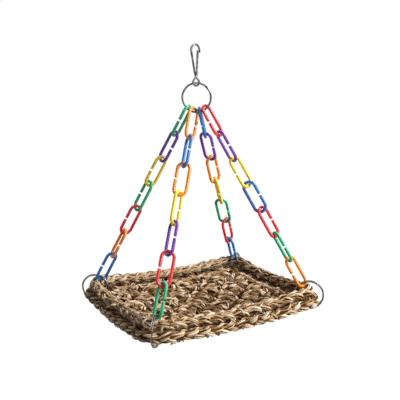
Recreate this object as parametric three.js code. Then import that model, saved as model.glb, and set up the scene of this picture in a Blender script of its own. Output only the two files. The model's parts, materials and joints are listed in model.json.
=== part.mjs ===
// Woven seagrass platform swing for a bird cage.
// A plaited mat hangs by chains of plastic C-links from a split ring and a bent-wire snap hook.
// Millimetres, +Z up. The origin is the place that hangs on a bar, inside the top of the hook's bend.
// +X runs along the long sides of the mat, and -Y is the front.

import * as THREE from 'three';

// Running gap between pieces that touch
const CLEARANCE = 0.3;

// Mat: two rim plaits round a field of plaits in plain weave
const MAT_LENGTH = 213;
const MAT_WIDTH = 182;
const RIM_PLAIT = 11.5;
const RIM_STEP_IN = 6;
const RIM_INNER_BEND = 11.5;
const BAND_WIDTH = 13;
const BAND_THICKNESS = 5.4;
const BAND_EDGE = 2.7;
const BAND_SPACE = 5;
const FIELD_EDGE_SPACE = 18;
const FIELD_DROP = 1.5;
const EDGE_SAG = 4;
const FIELD_SAG = 2;

// Chains of open links
const LINK_LENGTH = 38;
const LINK_INNER_WIDTH = 9.4;
const LINK_ROD = 3.3;
const LINK_OPENING = 2;
const TOP_LINK_SPACE = 3;

// Split rings: a flat wire wound twice, with a cranked step between the turns,
// whose length and place are in degrees round the ring
const RING_WIRE_RADIAL = 2;
const RING_WIRE_AXIAL = 1.2;
const RING_WIRE_FLAT = 0.7;
const RING_TURN_SPACE = 0.45;
const RING_STEP_LENGTH = 50;
const RING_SEAT = 0.7;
const TOP_RING_OUTER = 32;
const TOP_RING_STEP_AT = 190;
const CORNER_RING_PLAY = 4.6;
const CORNER_RING_LEAN = 22;
const CORNER_RING_STEP_AT = 0;

// Snap hook
const HOOK_WIRE = 2.2;
const HOOK_LENGTH = 44;
const HOOK_WIDTH = 14;
const HOOK_EYE_WIDTH = 11;
const HOOK_EYE_LENGTH = 11.7;
const HOOK_TIP_DROP = 2;
const HOOK_PLANE = 15;
const GATE_OVERLAP = 1.5;
const GATE_ROOT = 3;
const GATE_CUT = 0.4;

// How finely the round forms are divided
const ROD_SIDES = 8;
const LINK_BEND_STEPS = 6;
const HOOK_BEND_STEPS = 8;
const RIM_BEND_STEPS = 6;
const RIM_SIDE_STEPS = 6;
const RING_STEPS_PER_TURN = 24;

// The corners of the mat, in the order that their chains sit on the top ring. The mat is soft, so a corner
// may lie further out than in a true rectangle, and be held a little above the place where its chain is
// tight. Its ring may sit off the diagonal, in degrees.
const CORNERS = [
  { name: 'back_left', signs: [-1, 1], spread: 5, rise: 4.5, ringTurn: 0 },
  { name: 'front_left', signs: [-1, -1], spread: 3, rise: 0, ringTurn: 10 },
  { name: 'back_right', signs: [1, 1], spread: 0, rise: 0, ringTurn: 0 },
  { name: 'front_right', signs: [1, -1], spread: 0, rise: 4, ringTurn: 0 },
];

// Each chain from the top link down: the colour, the turn about the chain in degrees,
// counted from the plane of the top ring, and which side of the link is open
const CHAINS = {
  back_left: [
    ['green', -72, -1],
    ['purple', 44, 1],
    ['yellow', -48, -1],
    ['green', 46, -1],
    ['red', -44, -1],
    ['orange', 64, 1],
    ['blue', -52, -1],
  ],
  front_left: [
    ['orange', -56, 1],
    ['blue', 60, 1],
    ['orange', -4, -1],
    ['yellow', -68, 1],
    ['purple', 48, 1],
    ['red', -16, -1],
    ['green', 46, 1],
  ],
  back_right: [
    ['blue', 84, 1],
    ['purple', 21, 1],
    ['orange', -46, 1],
    ['yellow', 70, 1],
    ['green', 6, 1],
    ['red', -58, 1],
    ['blue', 54, 1],
  ],
  front_right: [
    ['red', -64, -1],
    ['purple', 52, 1],
    ['yellow', -48, -1],
    ['blue', 10, 1],
    ['red', -54, 1],
    ['green', 60, 1],
    ['orange', -50, -1],
  ],
};

const PLASTIC = {
  red: 0xd6202c,
  orange: 0xf08a10,
  yellow: 0xf4cf1c,
  green: 0x16a04a,
  blue: 0x1f5fc4,
  purple: 0x6a2aa8,
};
const SEAGRASS = 0x9c7d52;
const NICKEL = 0x9a9a98;

const FULL_TURN = 360;
const radians = THREE.MathUtils.degToRad;
const alongY = new THREE.Vector3(0, 1, 0);
const alongZ = new THREE.Vector3(0, 0, 1);
const swing = new THREE.Group();

function plastic(color) {
  return new THREE.MeshStandardMaterial({ color: PLASTIC[color], roughness: 0.3, metalness: 0 });
}

function seagrass() {
  return new THREE.MeshStandardMaterial({ color: SEAGRASS, roughness: 0.9, metalness: 0 });
}

function nickel() {
  return new THREE.MeshStandardMaterial({ color: NICKEL, roughness: 0.25, metalness: 1 });
}

function addMesh(parent, name, geometry, material) {
  const mesh = new THREE.Mesh(geometry, material);
  mesh.name = name;
  parent.add(mesh);
  return mesh;
}

// Sweeps a section, a list of [across, up] points, through stations { at, across, up }
function sweep(section, stations, closed = false) {
  const sides = section.length;
  const positions = [];
  for (const { at, across, up } of stations) {
    for (const [a, b] of section) {
      const point = at.clone().addScaledVector(across, a).addScaledVector(up, b);
      positions.push(point.x, point.y, point.z);
    }
  }
  const indices = [];
  const spans = closed ? stations.length : stations.length - 1;
  for (let i = 0; i < spans; i += 1) {
    const here = i * sides;
    const next = ((i + 1) % stations.length) * sides;
    for (let j = 0; j < sides; j += 1) {
      const k = (j + 1) % sides;
      indices.push(here + j, next + j, next + k);
      indices.push(here + j, next + k, here + k);
    }
  }
  if (!closed) {
    const last = (stations.length - 1) * sides;
    for (let j = 1; j < sides - 1; j += 1) {
      indices.push(0, j, j + 1);
      indices.push(last, last + j + 1, last + j);
    }
  }
  const geometry = new THREE.BufferGeometry();
  geometry.setAttribute('position', new THREE.Float32BufferAttribute(positions, 3));
  geometry.setIndex(indices);
  geometry.computeVertexNormals();
  return geometry;
}

function roundSection(diameter) {
  const section = [];
  for (let j = 0; j < ROD_SIDES; j += 1) {
    const angle = (j / ROD_SIDES) * 2 * Math.PI;
    section.push([(diameter / 2) * Math.cos(angle), (diameter / 2) * Math.sin(angle)]);
  }
  return section;
}

// Stations along a run of points, each bend mitred in the plane square to the binormal
function mitredStations(points, binormal, closed = false) {
  const count = points.length;
  return points.map((at, i) => {
    const before = points[closed ? (i + count - 1) % count : Math.max(i - 1, 0)];
    const after = points[closed ? (i + 1) % count : Math.min(i + 1, count - 1)];
    const arriving = at.clone().sub(before).normalize();
    const leaving = after.clone().sub(at).normalize();
    const along = arriving.clone().add(leaving).normalize();
    const up = binormal.clone().addScaledVector(along, -binormal.dot(along)).normalize();
    const across = new THREE.Vector3().crossVectors(along, up);
    const bends = arriving.lengthSq() > 0 && leaving.lengthSq() > 0;
    const half = bends ? arriving.angleTo(leaving) / 2 : 0;
    across.divideScalar(Math.cos(half));
    return { at, across, up };
  });
}

// Points of an arc in the XZ plane about a centre, from one angle to another in degrees
function arcPoints(centreX, centreZ, radius, from, to, steps) {
  const points = [];
  for (let i = 0; i <= steps; i += 1) {
    const angle = radians(from + ((to - from) * i) / steps);
    const x = centreX + radius * Math.cos(angle);
    points.push(new THREE.Vector3(x, 0, centreZ + radius * Math.sin(angle)));
  }
  return points;
}

// C-link, standing along Z in the XZ plane, open in the middle of its +X side
const linkBend = (LINK_INNER_WIDTH + LINK_ROD) / 2;
const linkStraight = (LINK_LENGTH - LINK_ROD) / 2 - linkBend;

function linkGeometry() {
  const points = [
    new THREE.Vector3(linkBend, 0, LINK_OPENING / 2),
    ...arcPoints(0, linkStraight, linkBend, 0, 180, LINK_BEND_STEPS),
    ...arcPoints(0, -linkStraight, linkBend, 180, 360, LINK_BEND_STEPS),
    new THREE.Vector3(linkBend, 0, -LINK_OPENING / 2),
  ];
  return sweep(roundSection(LINK_ROD), mitredStations(points, alongY));
}

// Split ring about Y: a turn, a cranked step across to the other layer, and a second turn
const ringPitch = RING_WIRE_AXIAL + RING_TURN_SPACE;

function ringStations(radius, stepAt) {
  const first = stepAt + RING_STEP_LENGTH / 2;
  const flatTurn = FULL_TURN - RING_STEP_LENGTH;
  const total = flatTurn + RING_STEP_LENGTH + flatTurn;
  const steps = Math.round((total / FULL_TURN) * RING_STEPS_PER_TURN);
  const up = alongY.clone().negate();
  const stations = [];
  for (let i = 0; i <= steps; i += 1) {
    const turned = (i / steps) * total;
    const angle = radians(first + turned);
    const climb = THREE.MathUtils.smoothstep(turned, flatTurn, flatTurn + RING_STEP_LENGTH);
    const across = new THREE.Vector3(Math.cos(angle), 0, Math.sin(angle));
    const at = across.clone().multiplyScalar(radius);
    at.y = (climb - 0.5) * ringPitch;
    stations.push({ at, across, up });
  }
  return stations;
}

// Least space between the two turns of a split ring
function turnSpace(stations) {
  const halfTurn = RING_STEPS_PER_TURN / 2;
  let least = Infinity;
  for (let i = 0; i < stations.length; i += 1) {
    for (let j = i + halfTurn; j < stations.length; j += 1) {
      least = Math.min(least, stations[i].at.distanceTo(stations[j].at));
    }
  }
  return least - RING_WIRE_AXIAL;
}

function addSplitRing(name, radius, stepAt) {
  const section = [
    [RING_WIRE_RADIAL / 2, -RING_WIRE_FLAT / 2],
    [RING_WIRE_RADIAL / 2, RING_WIRE_FLAT / 2],
    [0, RING_WIRE_AXIAL / 2],
    [-RING_WIRE_RADIAL / 2, RING_WIRE_FLAT / 2],
    [-RING_WIRE_RADIAL / 2, -RING_WIRE_FLAT / 2],
    [0, -RING_WIRE_AXIAL / 2],
  ];
  const stations = ringStations(radius, stepAt);
  console.log(`${name}: least space between its turns ${turnSpace(stations).toFixed(2)} mm`);
  return addMesh(swing, name, sweep(section, stations), nickel());
}

// Snap hook, in the XZ plane of its own group. The wire crosses itself at the throat, above the eye.
const hookBend = (HOOK_WIDTH - HOOK_WIRE) / 2;
const hookBendZ = HOOK_WIRE / 2 - hookBend;
const eyeBend = (HOOK_EYE_WIDTH - HOOK_WIRE) / 2;
const eyeBottomZ = 1.5 * HOOK_WIRE - HOOK_LENGTH;
const throatZ = eyeBottomZ - HOOK_WIRE / 2 + HOOK_EYE_LENGTH;
const throatY = (HOOK_WIRE + CLEARANCE) / 2;
const gateTip = new THREE.Vector3(
  hookBend - HOOK_WIRE - CLEARANCE,
  0,
  hookBendZ - HOOK_TIP_DROP + GATE_OVERLAP,
);
const throatFront = new THREE.Vector3(0, -throatY, throatZ);
const gateLine = gateTip.clone().sub(throatFront).normalize();
const gatePivot = throatFront.clone().addScaledVector(gateLine, GATE_ROOT);

function addHook() {
  const hook = new THREE.Group();
  hook.rotation.z = radians(HOOK_PLANE);
  swing.add(hook);
  const section = roundSection(HOOK_WIRE);
  const wire = [
    new THREE.Vector3(hookBend, 0, hookBendZ - HOOK_TIP_DROP),
    ...arcPoints(0, hookBendZ, hookBend, 0, 180, HOOK_BEND_STEPS),
    new THREE.Vector3(0, throatY, throatZ),
    ...arcPoints(0, eyeBottomZ + eyeBend, eyeBend, 0, -180, HOOK_BEND_STEPS),
    throatFront,
    gatePivot.clone().addScaledVector(gateLine, -GATE_CUT / 2),
  ];
  addMesh(hook, 'hook_body', sweep(section, mitredStations(wire, alongY)), nickel());
  const gate = [gatePivot.clone().addScaledVector(gateLine, GATE_CUT / 2), gateTip];
  addMesh(hook, 'hook_gate', sweep(section, mitredStations(gate, alongY)), nickel());
}

// Places round the edge of the mat, from its outside in
const rimInnerPath = RIM_INNER_BEND + RIM_PLAIT / 2;
const rimOuterPath = rimInnerPath + RIM_STEP_IN;
const cornerX = MAT_LENGTH / 2 - RIM_PLAIT / 2 - rimOuterPath;
const cornerY = MAT_WIDTH / 2 - RIM_PLAIT / 2 - rimOuterPath;
const rimStepUp = Math.sqrt((RIM_PLAIT + CLEARANCE) ** 2 - RIM_STEP_IN ** 2);

// The top ring lies in the plane of the back left and front right corners
const ringAcross = new THREE.Vector3(cornerX, -cornerY, 0).normalize();
const ringNormal = new THREE.Vector3().crossVectors(alongZ, ringAcross);
const topRingRadius = (TOP_RING_OUTER - RING_WIRE_RADIAL) / 2;
const topRingZ = eyeBottomZ + HOOK_WIRE / 2 + RING_SEAT + RING_WIRE_RADIAL / 2 - topRingRadius;

// A corner ring goes round both rim plaits
const cornerRingInner = (2 * RIM_PLAIT + CLEARANCE + CORNER_RING_PLAY) / 2;
const cornerRingRadius = cornerRingInner + RING_WIRE_RADIAL / 2;
const linksInChain = CHAINS.back_left.length;

// How far the doubled wire of a split ring reaches from its middle, towards a pull
function wireReach(pull, normal) {
  const sideways = Math.abs(pull.dot(normal));
  const straight = Math.sqrt(1 - sideways ** 2);
  return (straight * RING_WIRE_RADIAL + sideways * (ringPitch + RING_WIRE_FLAT)) / 2;
}

// Where a chain hangs on the top ring, where it pulls on its corner ring, and the place of that ring,
// for an outer rim that lies at a stated height there. The corner ring leans in from the line of the pull.
function chainEnds(place, height) {
  const { signs: [signX, signY], spread, ringTurn } = CORNERS[place];
  const outward = new THREE.Vector3(signX * cornerX, signY * cornerY, 0).normalize();
  outward.applyAxisAngle(alongZ, radians(ringTurn));
  const cornerNormal = new THREE.Vector3().crossVectors(alongZ, outward);
  const offset = (place - (CORNERS.length - 1) / 2) * (LINK_ROD + TOP_LINK_SPACE);
  const top = ringAcross.clone().multiplyScalar(offset);
  top.z = topRingZ - Math.sqrt(topRingRadius ** 2 - offset ** 2);
  const rim = new THREE.Vector3(signX * (cornerX + spread), signY * cornerY, height);
  rim.addScaledVector(outward, rimOuterPath);
  const pull = top.clone().sub(rim).projectOnPlane(cornerNormal).normalize();
  const seat = pull.clone().applyAxisAngle(cornerNormal, radians(-CORNER_RING_LEAN));
  const ringCentre = rim.clone().addScaledVector(seat, cornerRingInner - CLEARANCE - RIM_PLAIT / 2);
  const end = ringCentre.clone().addScaledVector(pull, cornerRingRadius);
  const down = end.clone().sub(top).normalize();
  const topReach = RING_SEAT + wireReach(down, ringNormal);
  const endReach = RING_SEAT + wireReach(down, cornerNormal);
  const span = end.distanceTo(top) + topReach + endReach;
  return { top, down, topReach, span, ringCentre, outward };
}

// The length of a chain pulled tight, from the inside of its first link to the inside of its last
const tightSpan = linksInChain * (LINK_LENGTH - 2 * LINK_ROD);

// The height of a corner's outer rim where its chain is tight
function tightHeight(place) {
  const longest = tightSpan - (linksInChain - 1) * CLEARANCE;
  let low = topRingZ - linksInChain * LINK_LENGTH;
  let high = topRingZ - topRingRadius;
  while (high - low > CLEARANCE / 1000) {
    const middle = (low + high) / 2;
    if (chainEnds(place, middle).span > longest) {
      low = middle;
    } else {
      high = middle;
    }
  }
  return high;
}

const cornerHeights = CORNERS.map(({ rise }, place) => tightHeight(place) + rise);
const matHeight = cornerHeights.reduce((sum, height) => sum + height, 0) / CORNERS.length;

// The links of one chain, in a straight line, with the same space between the ends of each pair
function addChain(name, { top, down, topReach, span }) {
  const geometry = linkGeometry();
  const space = (tightSpan - span) / (linksInChain - 1);
  const pitch = LINK_LENGTH - 2 * LINK_ROD - space;
  const firstCentre = LINK_LENGTH / 2 - LINK_ROD - topReach;
  const up = down.clone().negate();
  const faceOn = new THREE.Vector3().crossVectors(down, ringNormal).normalize();
  const sideOn = new THREE.Vector3().crossVectors(down, faceOn);
  CHAINS[name].forEach(([color, turn, openSide], i) => {
    const across = faceOn.clone().multiplyScalar(openSide * Math.cos(radians(turn)));
    across.addScaledVector(sideOn, openSide * Math.sin(radians(turn)));
    const normal = new THREE.Vector3().crossVectors(up, across);
    const link = addMesh(swing, `link_${name}_${i + 1}`, geometry, plastic(color));
    link.setRotationFromMatrix(new THREE.Matrix4().makeBasis(across, normal, up));
    link.position.copy(top).addScaledVector(down, firstCentre + i * pitch);
  });
}

// How far the hanging mat moves a point from its place in a flat mat. Each corner moves as one.
function drape(x, y) {
  const u = THREE.MathUtils.clamp(x / cornerX, -1, 1);
  const v = THREE.MathUtils.clamp(y / cornerY, -1, 1);
  const edgeSag = EDGE_SAG * (1 - (u * v) ** 2);
  const fieldSag = FIELD_SAG * (1 - u * u) * (1 - v * v);
  const move = new THREE.Vector3(0, 0, -edgeSag - fieldSag);
  CORNERS.forEach(({ signs: [signX, signY], spread }, place) => {
    const share = ((1 + signX * u) * (1 + signY * v)) / 4;
    move.x += signX * spread * share;
    move.z += (cornerHeights[place] - matHeight) * share;
  });
  return move;
}

function draped(geometry) {
  const position = geometry.getAttribute('position');
  const point = new THREE.Vector3();
  for (let i = 0; i < position.count; i += 1) {
    point.fromBufferAttribute(position, i);
    point.add(drape(point.x, point.y));
    position.setXYZ(i, point.x, point.y, point.z);
  }
  geometry.computeVertexNormals();
  return geometry;
}

// A plait that goes all the way round the mat, at a distance outside the centres of its corners
function rimGeometry(distance) {
  const points = [];
  const corners = [[1, 1], [-1, 1], [-1, -1], [1, -1]];
  corners.forEach(([signX, signY], i) => {
    for (let j = 0; j <= RIM_BEND_STEPS; j += 1) {
      const angle = radians(90 * (i + j / RIM_BEND_STEPS));
      const x = signX * cornerX + distance * Math.cos(angle);
      points.push(new THREE.Vector3(x, signY * cornerY + distance * Math.sin(angle), 0));
    }
    const sideStart = points.at(-1);
    const [nextX, nextY] = corners[(i + 1) % corners.length];
    const side = new THREE.Vector3((nextX - signX) * cornerX, (nextY - signY) * cornerY, 0);
    for (let j = 1; j < RIM_SIDE_STEPS; j += 1) {
      points.push(sideStart.clone().addScaledVector(side, j / RIM_SIDE_STEPS));
    }
  });
  return sweep(roundSection(RIM_PLAIT), mitredStations(points, alongZ, true), true);
}

// The inner edge of the outer rim, which the field fills, under the inner rim
const fieldBend = RIM_INNER_BEND + RIM_STEP_IN;
const fieldLength = 2 * (cornerX + fieldBend - CLEARANCE);
const fieldWidth = 2 * (cornerY + fieldBend - CLEARANCE);

// The length that a band has between the rounded corners of the field, at its place in the other direction
function bandLength(place, length, width) {
  const edge = Math.abs(place) + BAND_WIDTH / 2;
  const intoBend = Math.max(edge - (width / 2 - fieldBend), 0);
  return length - 2 * (fieldBend - Math.sqrt(fieldBend ** 2 - intoBend ** 2));
}

// Places of the parallel bands that share a stretch of the field, counted from its middle
function bandPlaces(length) {
  const room = length - 2 * FIELD_EDGE_SPACE;
  const count = Math.floor((room + BAND_SPACE) / (BAND_WIDTH + BAND_SPACE));
  const pitch = (room - BAND_WIDTH) / (count - 1);
  return Array.from({ length: count }, (unused, i) => (i - (count - 1) / 2) * pitch);
}

// A woven band along X: over, under and over the bands that cross it. Past its bend it lies straight.
function bandGeometry(crossings, length, bendAt, startsOver) {
  const rise = (BAND_THICKNESS + CLEARANCE) / 2;
  const flat = BAND_WIDTH / 2 - BAND_EDGE + BAND_THICKNESS / 4;
  const last = crossings.length - 1;
  const points = [];
  crossings.forEach((x, i) => {
    const z = (i % 2 === 0) === startsOver ? rise : -rise;
    const places = [x - flat, x + flat];
    if (i === 0) places.splice(0, 1, -length / 2, -bendAt);
    if (i === last) places.splice(1, 1, bendAt, length / 2);
    points.push(...places.map((place) => new THREE.Vector3(place, 0, z)));
  });
  const flatEdge = BAND_WIDTH / 2 - BAND_EDGE;
  const section = [
    [BAND_THICKNESS / 2, -flatEdge],
    [BAND_THICKNESS / 2, flatEdge],
    [0, BAND_WIDTH / 2],
    [-BAND_THICKNESS / 2, flatEdge],
    [-BAND_THICKNESS / 2, -flatEdge],
    [0, -BAND_WIDTH / 2],
  ];
  return sweep(section, mitredStations(points, alongY));
}

function addMat() {
  const mat = new THREE.Group();
  mat.position.z = matHeight;
  swing.add(mat);
  addMesh(mat, 'outer_rim_plait', draped(rimGeometry(rimOuterPath)), seagrass());
  addMesh(mat, 'inner_rim_plait', draped(rimGeometry(rimInnerPath)), seagrass()).position.z = rimStepUp;
  const field = new THREE.Group();
  field.position.z = -FIELD_DROP;
  mat.add(field);

  const alongPlaces = bandPlaces(fieldLength);
  const acrossPlaces = bandPlaces(fieldWidth);
  acrossPlaces.forEach((y, i) => {
    const length = bandLength(y, fieldLength, fieldWidth);
    const geometry = bandGeometry(alongPlaces, length, cornerX, i % 2 === 0);
    geometry.translate(0, y, 0);
    addMesh(field, `lengthwise_band_${i + 1}`, draped(geometry), seagrass());
  });
  alongPlaces.forEach((x, i) => {
    const length = bandLength(x, fieldWidth, fieldLength);
    const geometry = bandGeometry(acrossPlaces, length, cornerY, i % 2 === 1);
    geometry.rotateZ(Math.PI / 2).translate(x, 0, 0);
    addMesh(field, `crosswise_band_${i + 1}`, draped(geometry), seagrass());
  });
}

addHook();
const topRing = addSplitRing('top_ring', topRingRadius, TOP_RING_STEP_AT);
topRing.rotation.z = Math.atan2(ringAcross.y, ringAcross.x);
topRing.position.z = topRingZ;

CORNERS.forEach((corner, place) => {
  const ends = chainEnds(place, cornerHeights[place]);
  addChain(corner.name, ends);
  const ring = addSplitRing(`corner_ring_${corner.name}`, cornerRingRadius, CORNER_RING_STEP_AT);
  ring.rotation.z = Math.atan2(ends.outward.y, ends.outward.x);
  ring.position.copy(ends.ringCentre);
});
addMat();

export default swing;
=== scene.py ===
"""Finish of a woven seagrass platform swing: plaited mat, plastic C-links, split rings and snap hook."""

import json
import math

import bpy
import numpy as np
from mathutils import Matrix, Vector

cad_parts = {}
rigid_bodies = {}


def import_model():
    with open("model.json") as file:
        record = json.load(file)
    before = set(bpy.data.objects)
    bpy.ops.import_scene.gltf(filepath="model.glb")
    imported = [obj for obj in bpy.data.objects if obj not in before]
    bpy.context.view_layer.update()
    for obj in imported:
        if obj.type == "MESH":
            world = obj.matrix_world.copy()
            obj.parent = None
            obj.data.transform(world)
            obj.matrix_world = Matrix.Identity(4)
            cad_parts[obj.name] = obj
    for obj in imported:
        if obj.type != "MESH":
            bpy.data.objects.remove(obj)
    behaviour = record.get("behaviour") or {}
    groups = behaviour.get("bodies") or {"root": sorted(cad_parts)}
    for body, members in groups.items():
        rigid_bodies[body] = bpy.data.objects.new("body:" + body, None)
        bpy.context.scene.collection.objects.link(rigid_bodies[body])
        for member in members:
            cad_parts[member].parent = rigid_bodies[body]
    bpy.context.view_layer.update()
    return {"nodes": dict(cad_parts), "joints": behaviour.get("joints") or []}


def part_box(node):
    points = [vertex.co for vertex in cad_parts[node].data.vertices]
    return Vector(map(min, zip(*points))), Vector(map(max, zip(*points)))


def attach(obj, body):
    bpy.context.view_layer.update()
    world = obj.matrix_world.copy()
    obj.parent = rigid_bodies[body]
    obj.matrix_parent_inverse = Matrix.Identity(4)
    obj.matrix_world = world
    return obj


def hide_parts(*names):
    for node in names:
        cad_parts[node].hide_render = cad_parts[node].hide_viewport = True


bl_info = {
    "name": "Seagrass Platform Swing",
    "version": (1, 0, 0),
    "blender": (4, 5, 0),
    "location": "View3D > Sidebar > Swing",
    "description": "Dresses the swing's frame with plaited seagrass, plastic links and nickel wire",
    "category": "Add Mesh",
}

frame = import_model()
MAT_BODY = "mat"
IMAGE_SIZE = 400  # pixels across the image
FULL_TURN = 2 * math.pi
Z_AXIS = np.array([0.0, 0.0, 1.0])

# Maps of the straw pieces, on which each tube has a patch of its own
MAP_NAME = "OFBake"
END_DISC = 0.8  # share of its space that the disc of a tube's end fills
PATCH_GAP = 0.03  # share of a patch's space that stays free on each side

# Plaits
PLIES = 3
FOLD = 0.97  # how sharply a ply turns back at the sides of a plait, up to 1
RIDE = 1.6  # how flat a ply lies where it passes over or under another
CORNER_STEPS = 12  # steps round a corner of the mat

# Blades; a tone goes from 0 for dark to 1 for pale
BLADE_SIDES = 8
BLADE_SIZES = (0.78, 1.2)  # narrowest and widest blade, beside the width that is set
BLADE_TONE = 0.87
TONE_SPREAD = 0.17
FLANK_PAINTED_SHADE = 0.32  # painted shade: how much darker the sides and underside of a blade are painted than its top
DEPTH_PAINTED_SHADE = 1.2  # painted shade: how much darker a blade is painted towards the middle of its plait, where the plies shade one another
CREASE_DEPTH = 0.16  # share of a blade's thickness that its crease takes
CREASE_POWER = 8  # a higher one makes the crease narrower
GRAIN_LENGTH = 0.05  # metres along a blade to one unit of its grain
GRAIN_SHIFT = 50  # most that the grain of a blade is shifted

# How things stray along a plait: how far, then the longest and the shortest wave in metres
WAVES = 4
WAVE_COUNTS = (0.8, 1.25)  # fewest and most cycles of a wave, beside an even count
BLADE_WIDTH_DRIFT = (0.16, 0.04, 0.012)
BLADE_THICKNESS_DRIFT = (0.14, 0.03, 0.01)
BLADE_TILT_DRIFT = (0.45, 0.05, 0.02)
BLADE_TONE_DRIFT = (0.1, 0.05, 0.015)
CORE_LEAF_DRIFT = (0.6, 0.06, 0.02)
PLY_DRIFT = (0.3, 0.09, 0.03)
LAY_DRIFT = (0.35, 0.07, 0.025)
REACH_DRIFT = (0.22, 0.05, 0.015)

# Stray blades and loose fibres, with sizes in metres; a pair is the least and the most
STRAY_STATIONS = 9
STRAY_REACH = (0.004, 0.008)
STRAY_WIDTH = (0.0018, 0.0026)
STRAY_THICKNESS = (0.0011, 0.0015)
STRAY_LIFT = 0.0004
STRAY_BEND = 0.007  # radius in which it bends over the plait
STRAY_TAPER = 0.5  # share of its width that it loses towards its ends
STRAY_TONE = (0.45, 1)
STRAY_END_PAINTED_SHADE = 0.6  # painted shade: how much darker its ends are painted where they dip into the plait
STRAY_GRAIN = 0.002  # metres to one unit of its grain
TANGLE_UPWARD = 0.3  # how far upwards a surface has to face before tangled blades lie on it
FIBRE_STATIONS = 7
FIBRE_SIDES = 4
FIBRE_REACH = (0.004, 0.012)
FIBRE_START = -0.2  # where it starts behind its root, as a share of its reach
FIBRE_LIFT = (0.1, 0.45)  # how far its end stands off, as a share of its reach
FIBRE_WIDTH = (0.0003, 0.0007)
FIBRE_THICKNESS = 0.0003
FIBRE_FULLNESS = 1.05  # size at its root
FIBRE_TAPER = 0.8  # size that it loses towards its end
FIBRE_TONE = (0.5, 1)

# Links and wire
ROUND_STEPS = 4
LINK_BEND_STEPS = 18
LINK_OPEN_STEPS = 4
LINK_BACK_STEPS = 8
SEAM_WIDTH = 0.12  # share of the rod's radius
FLOW_MARK = 0.93  # brightness of a flow mark in the plastic
RING_STATIONS = 200
RING_SIDES = 14
RING_SQUARED_ACROSS = 0.6  # powers under 1 square off the section of a ring's wire
RING_SQUARED_ALONG = 0.8
RING_TIP = 0.55  # size of a ring's wire at its ends
WIRE_SIDES = 18
WIRE_ROUND = 0.25  # depth of the rounding at the hook's ends, beside the wire's diameter
WIRE_NARROWING = 0.5  # share of its width that the rounding takes
WIRE_BEND_STEPS = 8
ARC_STEPS = 24
GATE_STATIONS = 12
DULL_PATCH = 0.35  # brightness of the dullest and the brightest patches, beside the nickel's colour
BRIGHT_PATCH = 1.4

# Floor
FLOOR_GREYS = (0.84, 0.86)
FLOOR_GLOW = 1.15  # strength of its own white
FLOOR_CLEARED = 0.85  # share of its look that the white takes over; the rest shows shadows


# Properties


def metres(name, description, default):
    return bpy.props.FloatProperty(
        name=name, description=description, default=default, unit="LENGTH", precision=5
    )


def point(name, description, default):
    return bpy.props.FloatVectorProperty(
        name=name, description=description, default=default, subtype="TRANSLATION"
    )


def degrees(name, description, default):
    return bpy.props.FloatProperty(
        name=name, description=description, default=math.radians(default), subtype="ANGLE"
    )


def watts(name, description, default):
    return bpy.props.FloatProperty(name=name, description=description, default=default, unit="POWER")


def colour(name, description, default):
    return bpy.props.FloatVectorProperty(
        name=name, description=description, default=default, subtype="COLOR", size=3, min=0, max=1
    )


def count(name, description, default):
    return bpy.props.IntProperty(name=name, description=description, default=default, min=1)


def share(name, description, default):
    return bpy.props.FloatProperty(name=name, description=description, default=default, subtype="FACTOR")


class RimPlaitSettings(bpy.types.PropertyGroup):
    """Sizes of a rim's three-ply plait, and of the blades of seagrass in each ply"""

    swing: metres("Swing", "How far a ply moves to each side of the plait", 0.0030)
    rise: metres("Rise", "How far a ply moves over and under the others", 0.0028)
    pitch: metres("Pitch", "Length in which a ply crosses the plait and comes back", 0.042)
    ply_reach_side: metres("Ply Side Reach", "Middle of a ply to the middle of its side blades", 0.0019)
    ply_reach_up: metres("Ply Top Reach", "Middle of a ply to the middle of its top blades", 0.0019)
    lay: metres("Lay", "Length in which the blades go once round their ply", 0.11)
    blades: count("Blades", "Blades of seagrass in one ply", 5)
    blade_width: metres("Blade Width", "Width of one blade", 0.0023)
    blade_thickness: metres("Blade Thickness", "Thickness of one blade", 0.0015)
    # painted shade: the core and its leaves are painted darker than the blades, standing in for the
    # shade inside the plait
    core_leaves: count("Core Leaves", "Dark leaves that lie along the inside of the plait", 9)
    core_tone: share("Core Tone", "Shade of the leaves inside the plait, dark to pale", 0.68)
    core_width: metres("Core Width", "Width of the core under the dark leaves", 0.0076)
    core_thickness: metres("Core Thickness", "Thickness of the core under the dark leaves", 0.0068)


class BandPlaitSettings(RimPlaitSettings):
    """Sizes of a field band's flat plait, and of the blades of seagrass in each ply"""

    swing: metres("Swing", "How far a ply moves to each side of the plait", 0.0048)
    rise: metres("Rise", "How far a ply moves over and under the others", 0.0018)
    pitch: metres("Pitch", "Length in which a ply crosses the plait and comes back", 0.04)
    ply_reach_side: metres("Ply Side Reach", "Middle of a ply to the middle of its side blades", 0.0019)
    ply_reach_up: metres("Ply Top Reach", "Middle of a ply to the middle of its top blades", 0.0011)
    blades: count("Blades", "Blades of seagrass in one ply", 4)
    blade_width: metres("Blade Width", "Width of one blade", 0.0028)
    blade_thickness: metres("Blade Thickness", "Thickness of one blade", 0.0018)
    # painted shade: the core and its leaves are painted darker than the blades, standing in for the
    # shade inside the plait
    core_leaves: count("Core Leaves", "Dark leaves that lie along the inside of the plait", 14)
    core_tone: share("Core Tone", "Shade of the leaves inside the plait, dark to pale", 0.42)
    core_width: metres("Core Width", "Width of the core under the dark leaves", 0.0172)
    core_thickness: metres("Core Thickness", "Thickness of the core under the dark leaves", 0.0018)


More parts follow.
